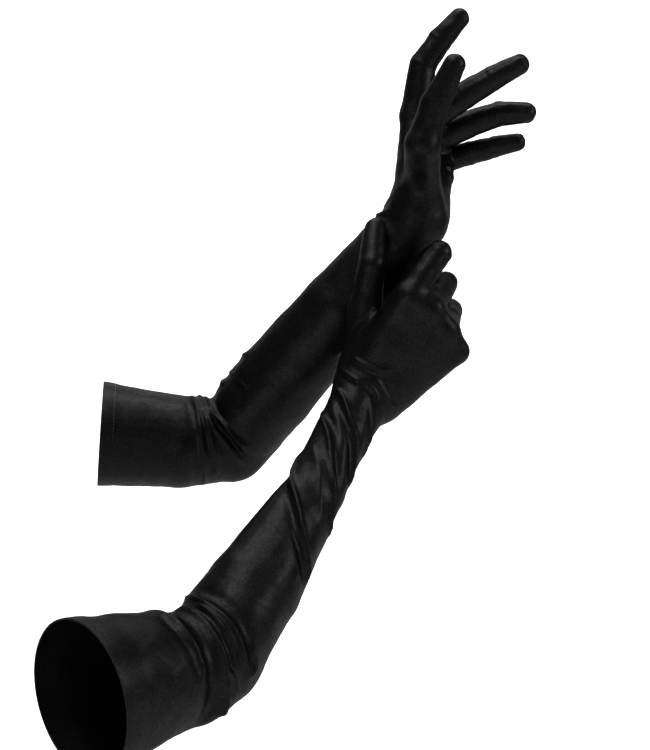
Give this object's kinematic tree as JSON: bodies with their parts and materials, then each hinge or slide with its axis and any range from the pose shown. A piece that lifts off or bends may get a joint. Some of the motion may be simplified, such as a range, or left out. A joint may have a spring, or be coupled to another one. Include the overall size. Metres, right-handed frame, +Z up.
{
  "type": "opera gloves",
  "caption": "Pair of long satin evening gloves posed on bent arms: one open fanned hand, the other hand closed on the first glove's sleeve near the wrist.",
  "frame": {"origin": "centre of the left glove's cuff opening, on its edge plane", "axes": "+X the way the wearer faces, +Y to the wearer's left, away from the viewer, +Z up; the left sleeve starts along +X and both forearms rise"},
  "size_m": [0.3789, 0.3696, 0.5532],
  "materials": {
    "satin": "black stretch satin knit, soft broad sheen",
    "thread": "black polyester sewing thread, slightly glossy"
  },
  "bodies": {
    "left_upper": {"left_cuff_hem": "satin", "left_elbow_back_panel": "satin", "left_elbow_palm_panel": "satin", "left_hem_stitches_inner": "thread", "left_hem_stitches_outer": "thread", "left_upper_back_panel": "satin", "left_upper_palm_panel": "satin"},
    "left_forearm": {"left_forearm_back_panel": "satin", "left_forearm_palm_panel": "satin", "left_wrist_back_panel": "satin", "left_wrist_palm_panel": "satin"},
    "left_hand": {"left_hand_back_panel": "satin", "left_hand_palm_panel": "satin"},
    "left_thumb": {"left_thumb": "satin"},
    "left_index": {"left_index_back": "satin", "left_index_little_side_fourchette": "satin", "left_index_palm": "satin"},
    "left_middle": {"left_middle_back": "satin", "left_middle_little_side_fourchette": "satin", "left_middle_palm": "satin", "left_middle_thumb_side_fourchette": "satin"},
    "left_ring": {"left_ring_back": "satin", "left_ring_little_side_fourchette": "satin", "left_ring_palm": "satin", "left_ring_thumb_side_fourchette": "satin"},
    "left_little": {"left_little_back": "satin", "left_little_palm": "satin", "left_little_thumb_side_fourchette": "satin"},
    "right_hand": {"right_hand_back_panel": "satin", "right_hand_palm_panel": "satin", "right_wrist_back_panel": "satin", "right_wrist_palm_panel": "satin"},
    "right_thumb": {"right_thumb": "satin"},
    "right_index": {"right_index_back": "satin", "right_index_little_side_fourchette": "satin", "right_index_palm": "satin"},
    "right_middle": {"right_middle_back": "satin", "right_middle_little_side_fourchette": "satin", "right_middle_palm": "satin", "right_middle_thumb_side_fourchette": "satin"},
    "right_ring": {"right_ring_back": "satin", "right_ring_little_side_fourchette": "satin", "right_ring_palm": "satin", "right_ring_thumb_side_fourchette": "satin"},
    "right_little": {"right_little_back": "satin", "right_little_palm": "satin", "right_little_thumb_side_fourchette": "satin"},
    "right_forearm": {"right_elbow_back_panel": "satin", "right_elbow_palm_panel": "satin", "right_forearm_back_panel": "satin", "right_forearm_palm_panel": "satin"},
    "right_upper": {"right_cuff_hem": "satin", "right_hem_stitches_inner": "thread", "right_hem_stitches_outer": "thread", "right_upper_back_panel": "satin", "right_upper_palm_panel": "satin"}
  },
  "joints": [
    {"name": "left_elbow", "type": "hinge", "parent": "left_upper", "child": "left_forearm", "pos_m": [0.10819, 0.01877, -0.00662], "axis": [0.1387, -0.9246, -0.3549], "range_deg": [-50, 28], "deforming": ["left_elbow_palm_panel", "left_elbow_back_panel"]},
    {"name": "left_wrist", "type": "hinge", "parent": "left_forearm", "child": "left_hand", "pos_m": [0.26813, -0.02872, 0.17956], "axis": [-0.2832, -0.8973, 0.3387], "range_deg": [-20, 2], "deforming": ["left_wrist_palm_panel", "left_wrist_back_panel"]},
    {"name": "left_index_curl", "type": "hinge", "parent": "left_hand", "child": "left_index", "pos_m": [0.27097, -0.02217, 0.29216], "axis": [0.2887, 0.9574, 0.0033], "range_deg": [-8, 20]},
    {"name": "left_middle_curl", "type": "hinge", "parent": "left_hand", "child": "left_middle", "pos_m": [0.29391, -0.00808, 0.27652], "axis": [0.2899, 0.9562, -0.0403], "range_deg": [-8, 20]},
    {"name": "left_ring_curl", "type": "hinge", "parent": "left_hand", "child": "left_ring", "pos_m": [0.3004, 0.01059, 0.25951], "axis": [0.2807, 0.8851, -0.3713], "range_deg": [-8, 20]},
    {"name": "left_little_curl", "type": "hinge", "parent": "left_hand", "child": "left_little", "pos_m": [0.30542, 0.02338, 0.24019], "axis": [0.2693, 0.834, -0.4816], "range_deg": [-8, 20]},
    {"name": "left_thumb_curl", "type": "hinge", "parent": "left_hand", "child": "left_thumb", "pos_m": [0.2688, -0.07566, 0.23225], "axis": [-0.0647, 0.9564, 0.2849], "range_deg": [-10, 15]},
    {"name": "grip_slide", "type": "slide", "parent": "left_forearm", "child": "right_hand", "axis": [0.6398, -0.1899, 0.7447], "range_m": [-0.006, 0.008]},
    {"name": "right_index_curl", "type": "hinge", "parent": "right_hand", "child": "right_index", "pos_m": [0.27238, -0.0811, 0.13261], "axis": [-0.7805, -0.1797, 0.5988], "range_deg": [-5, 0]},
    {"name": "right_middle_curl", "type": "hinge", "parent": "right_hand", "child": "right_middle", "pos_m": [0.28388, -0.06151, 0.11518], "axis": [-0.578, -0.2395, 0.7801], "range_deg": [-15, 0]},
    {"name": "right_ring_curl", "type": "hinge", "parent": "right_hand", "child": "right_ring", "pos_m": [0.29134, -0.0552, 0.09588], "axis": [-0.578, -0.2395, 0.7801], "range_deg": [-15, 0]},
    {"name": "right_little_curl", "type": "hinge", "parent": "right_hand", "child": "right_little", "pos_m": [0.2965, -0.04895, 0.07492], "axis": [-0.6335, -0.2261, 0.74], "range_deg": [-15, 0]},
    {"name": "right_thumb_curl", "type": "hinge", "parent": "right_hand", "child": "right_thumb", "pos_m": [0.22346, -0.06036, 0.1061], "axis": [-0.9667, -0.1983, 0.1618], "range_deg": [-12, 0]},
    {"name": "right_wrist", "type": "hinge", "parent": "right_hand", "child": "right_forearm", "pos_m": [0.224, -0.06, 0.035], "axis": [-0.7913, -0.1755, 0.5857], "range_deg": [-12, 8], "deforming": ["right_wrist_palm_panel", "right_wrist_back_panel"]},
    {"name": "right_elbow", "type": "hinge", "parent": "right_forearm", "child": "right_upper", "pos_m": [0.11482, -0.20141, -0.13988], "axis": [0.7053, -0.698, 0.1241], "range_deg": [-30, 30], "deforming": ["right_elbow_palm_panel", "right_elbow_back_panel"]}
  ]
}
